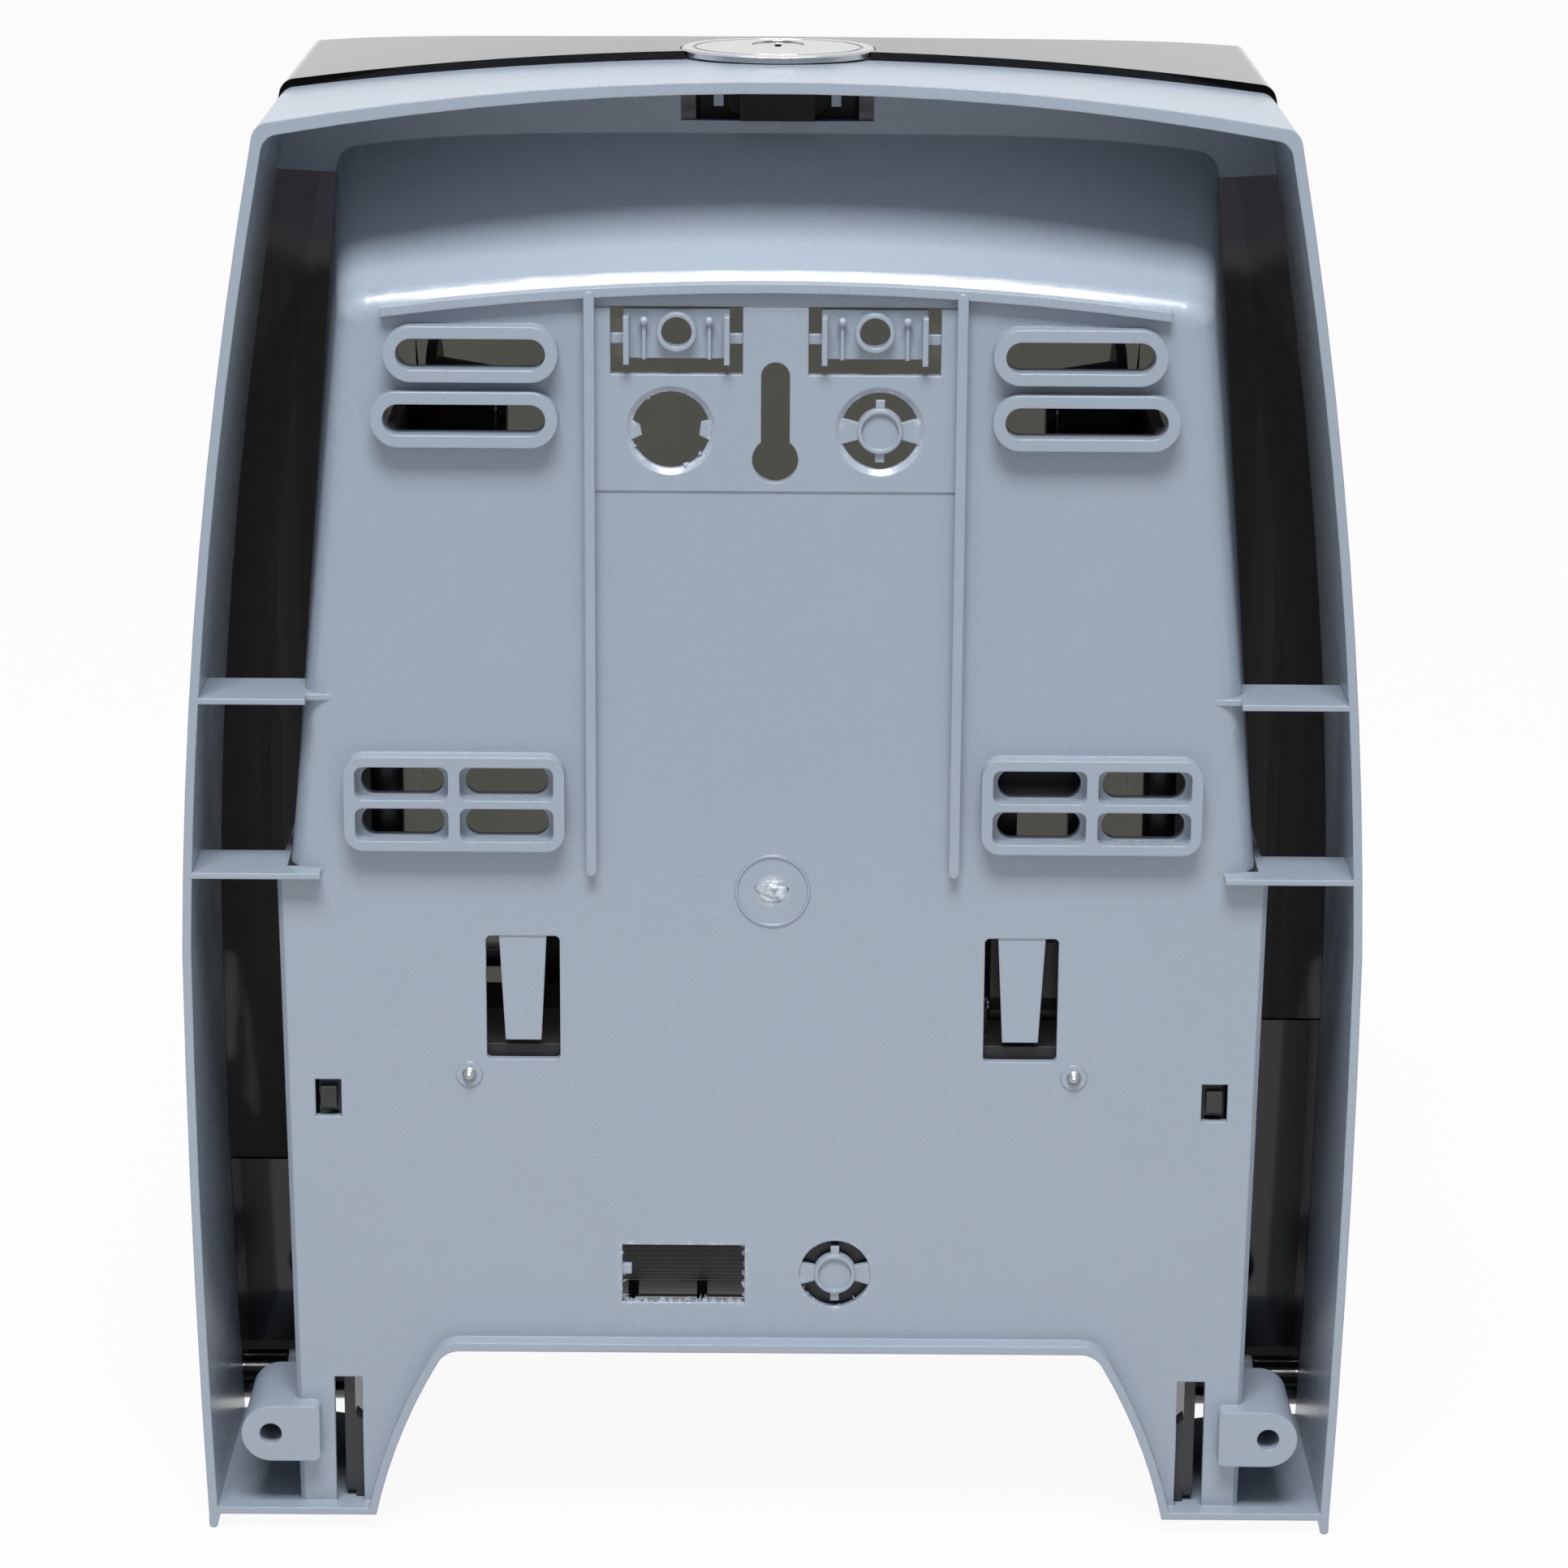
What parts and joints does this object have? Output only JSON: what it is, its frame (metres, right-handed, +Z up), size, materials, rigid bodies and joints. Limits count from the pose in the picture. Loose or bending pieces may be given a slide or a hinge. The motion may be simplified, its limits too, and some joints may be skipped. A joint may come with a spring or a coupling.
{
  "type": "hard roll towel dispenser",
  "caption": "Wall-hung hard roll towel dispenser, grey rear housing with arch and fixing slots, hinged smoke cover, spring arms and hubs, feed drum with pop-out knife and a keyed latch.",
  "frame": {"origin": "on the wall plane, midway between the two upper fixing slots", "axes": "+Z up, the front faces -Y, +X to the right of a person in front"},
  "size_m": [0.3208, 0.2591, 0.4097],
  "materials": {
    "grey_plastic": "fine satin moulded ABS, cool grey",
    "smoke_plastic": "polished smoke-black moulding",
    "black_plastic": "satin black moulding",
    "dark_plastic": "dark grey moulding",
    "acetal": "natural acetal",
    "green_plastic": "coloured service part",
    "zinc_steel": "zinc-plated steel",
    "bright_steel": "ground bright steel",
    "spring_steel": "oil-tempered spring steel",
    "grip_rubber": "matt rubber",
    "plated_metal": "plated lock parts"
  },
  "bodies": {
    "housing": {"rear_housing": "grey_plastic", "chassis_bridge": "black_plastic", "chassis_screws": "zinc_steel", "frame_screws": "zinc_steel", "side_frame_left": "dark_plastic", "side_frame_right": "dark_plastic", "tie_rod": "zinc_steel", "drum_bush_left": "acetal", "drum_bush_right": "acetal", "knife_cam_left": "acetal", "knife_cam_right": "acetal", "pinch_bushes": "acetal", "pinch_springs": "spring_steel", "stripper_comb": "black_plastic", "towel_chute": "dark_plastic", "arm_pins": "zinc_steel", "follower_pin": "zinc_steel", "cover_hinge_pins": "zinc_steel", "spring_case": "dark_plastic", "drive_spring": "spring_steel"},
    "drum": {"drum_shell": "dark_plastic", "drum_grips": "grip_rubber", "drum_end_left": "black_plastic", "drum_end_right": "black_plastic", "drum_shaft": "bright_steel", "feed_knob": "green_plastic", "knob_screw": "zinc_steel"},
    "knife": {"knife_carriage": "black_plastic", "knife_blade": "bright_steel", "cam_rollers": "zinc_steel"},
    "pinch": {"pinch_shaft": "bright_steel", "pinch_rollers": "grip_rubber"},
    "transfer": {"transfer_bar": "black_plastic", "transfer_pads": "grip_rubber"},
    "feeler": {"roll_follower": "black_plastic"},
    "arm_left": {"roll_arm_left": "black_plastic", "hub_clip_left": "spring_steel"},
    "arm_right": {"roll_arm_right": "black_plastic", "hub_clip_right": "spring_steel"},
    "hub_left": {"roll_hub_left": "black_plastic"},
    "hub_right": {"roll_hub_right": "black_plastic"},
    "cover": {"front_cover": "smoke_plastic", "lock_plate": "plated_metal", "lock_case": "black_plastic", "lock_screws": "zinc_steel", "latch_spring": "spring_steel"},
    "lock": {"lock_cylinder": "plated_metal"},
    "latch": {"latch_bolt": "black_plastic"}
  },
  "joints": [
    {"name": "drum_spin", "type": "hinge", "parent": "housing", "child": "drum", "pos_m": [0, -0.1, -0.255], "axis": [1, 0, 0], "continuous": true},
    {"name": "knife_slide", "type": "slide", "parent": "drum", "child": "knife", "axis": [0, -0.6428, -0.766], "range_m": [0, 0.009], "stiffness_N_per_m": 1000},
    {"name": "pinch_spin", "type": "hinge", "parent": "housing", "child": "pinch", "pos_m": [0, -0.1375, -0.2103], "axis": [1, 0, 0], "continuous": true},
    {"name": "transfer_tilt", "type": "hinge", "parent": "housing", "child": "transfer", "pos_m": [0, -0.061, -0.2005], "axis": [1, 0, 0], "range_deg": [0, 20]},
    {"name": "feeler_tilt", "type": "hinge", "parent": "housing", "child": "feeler", "pos_m": [-0.0735, -0.022, -0.186], "axis": [1, 0, 0], "range_deg": [0, 34]},
    {"name": "arm_left_swing", "type": "hinge", "parent": "housing", "child": "arm_left", "pos_m": [-0.10525, -0.016, -0.0825], "axis": [0, 0, -1], "range_deg": [0, 7], "stiffness_Nm_per_rad": 3},
    {"name": "arm_right_swing", "type": "hinge", "parent": "housing", "child": "arm_right", "pos_m": [0.10525, -0.016, -0.0825], "axis": [0, 0, 1], "range_deg": [0, 7], "stiffness_Nm_per_rad": 3},
    {"name": "hub_left_spin", "type": "hinge", "parent": "arm_left", "child": "hub_left", "pos_m": [-0.09, -0.125, -0.0432], "axis": [1, 0, 0], "continuous": true},
    {"name": "hub_right_spin", "type": "hinge", "parent": "arm_right", "child": "hub_right", "pos_m": [0.09, -0.125, -0.0432], "axis": [1, 0, 0], "continuous": true},
    {"name": "cover_open", "type": "hinge", "parent": "housing", "child": "cover", "pos_m": [0, -0.078, -0.3216], "axis": [1, 0, 0], "range_deg": [0, 90]},
    {"name": "lock_turn", "type": "hinge", "parent": "cover", "child": "lock", "pos_m": [0, -0.06, 0.066], "axis": [0, 0, 1], "range_deg": [0, 90]},
    {"name": "latch_slide", "type": "slide", "parent": "cover", "child": "latch", "axis": [0, 0, 1], "range_m": [0, 0.004], "deforming": ["latch_spring"]}
  ],
  "couplings": [
    {"joint": "pinch_spin", "follows": "drum_spin", "ratio": -3.8333},
    {"joint": "latch_slide", "follows": "lock_turn", "m_per_rad": 0.0025465}
  ]
}
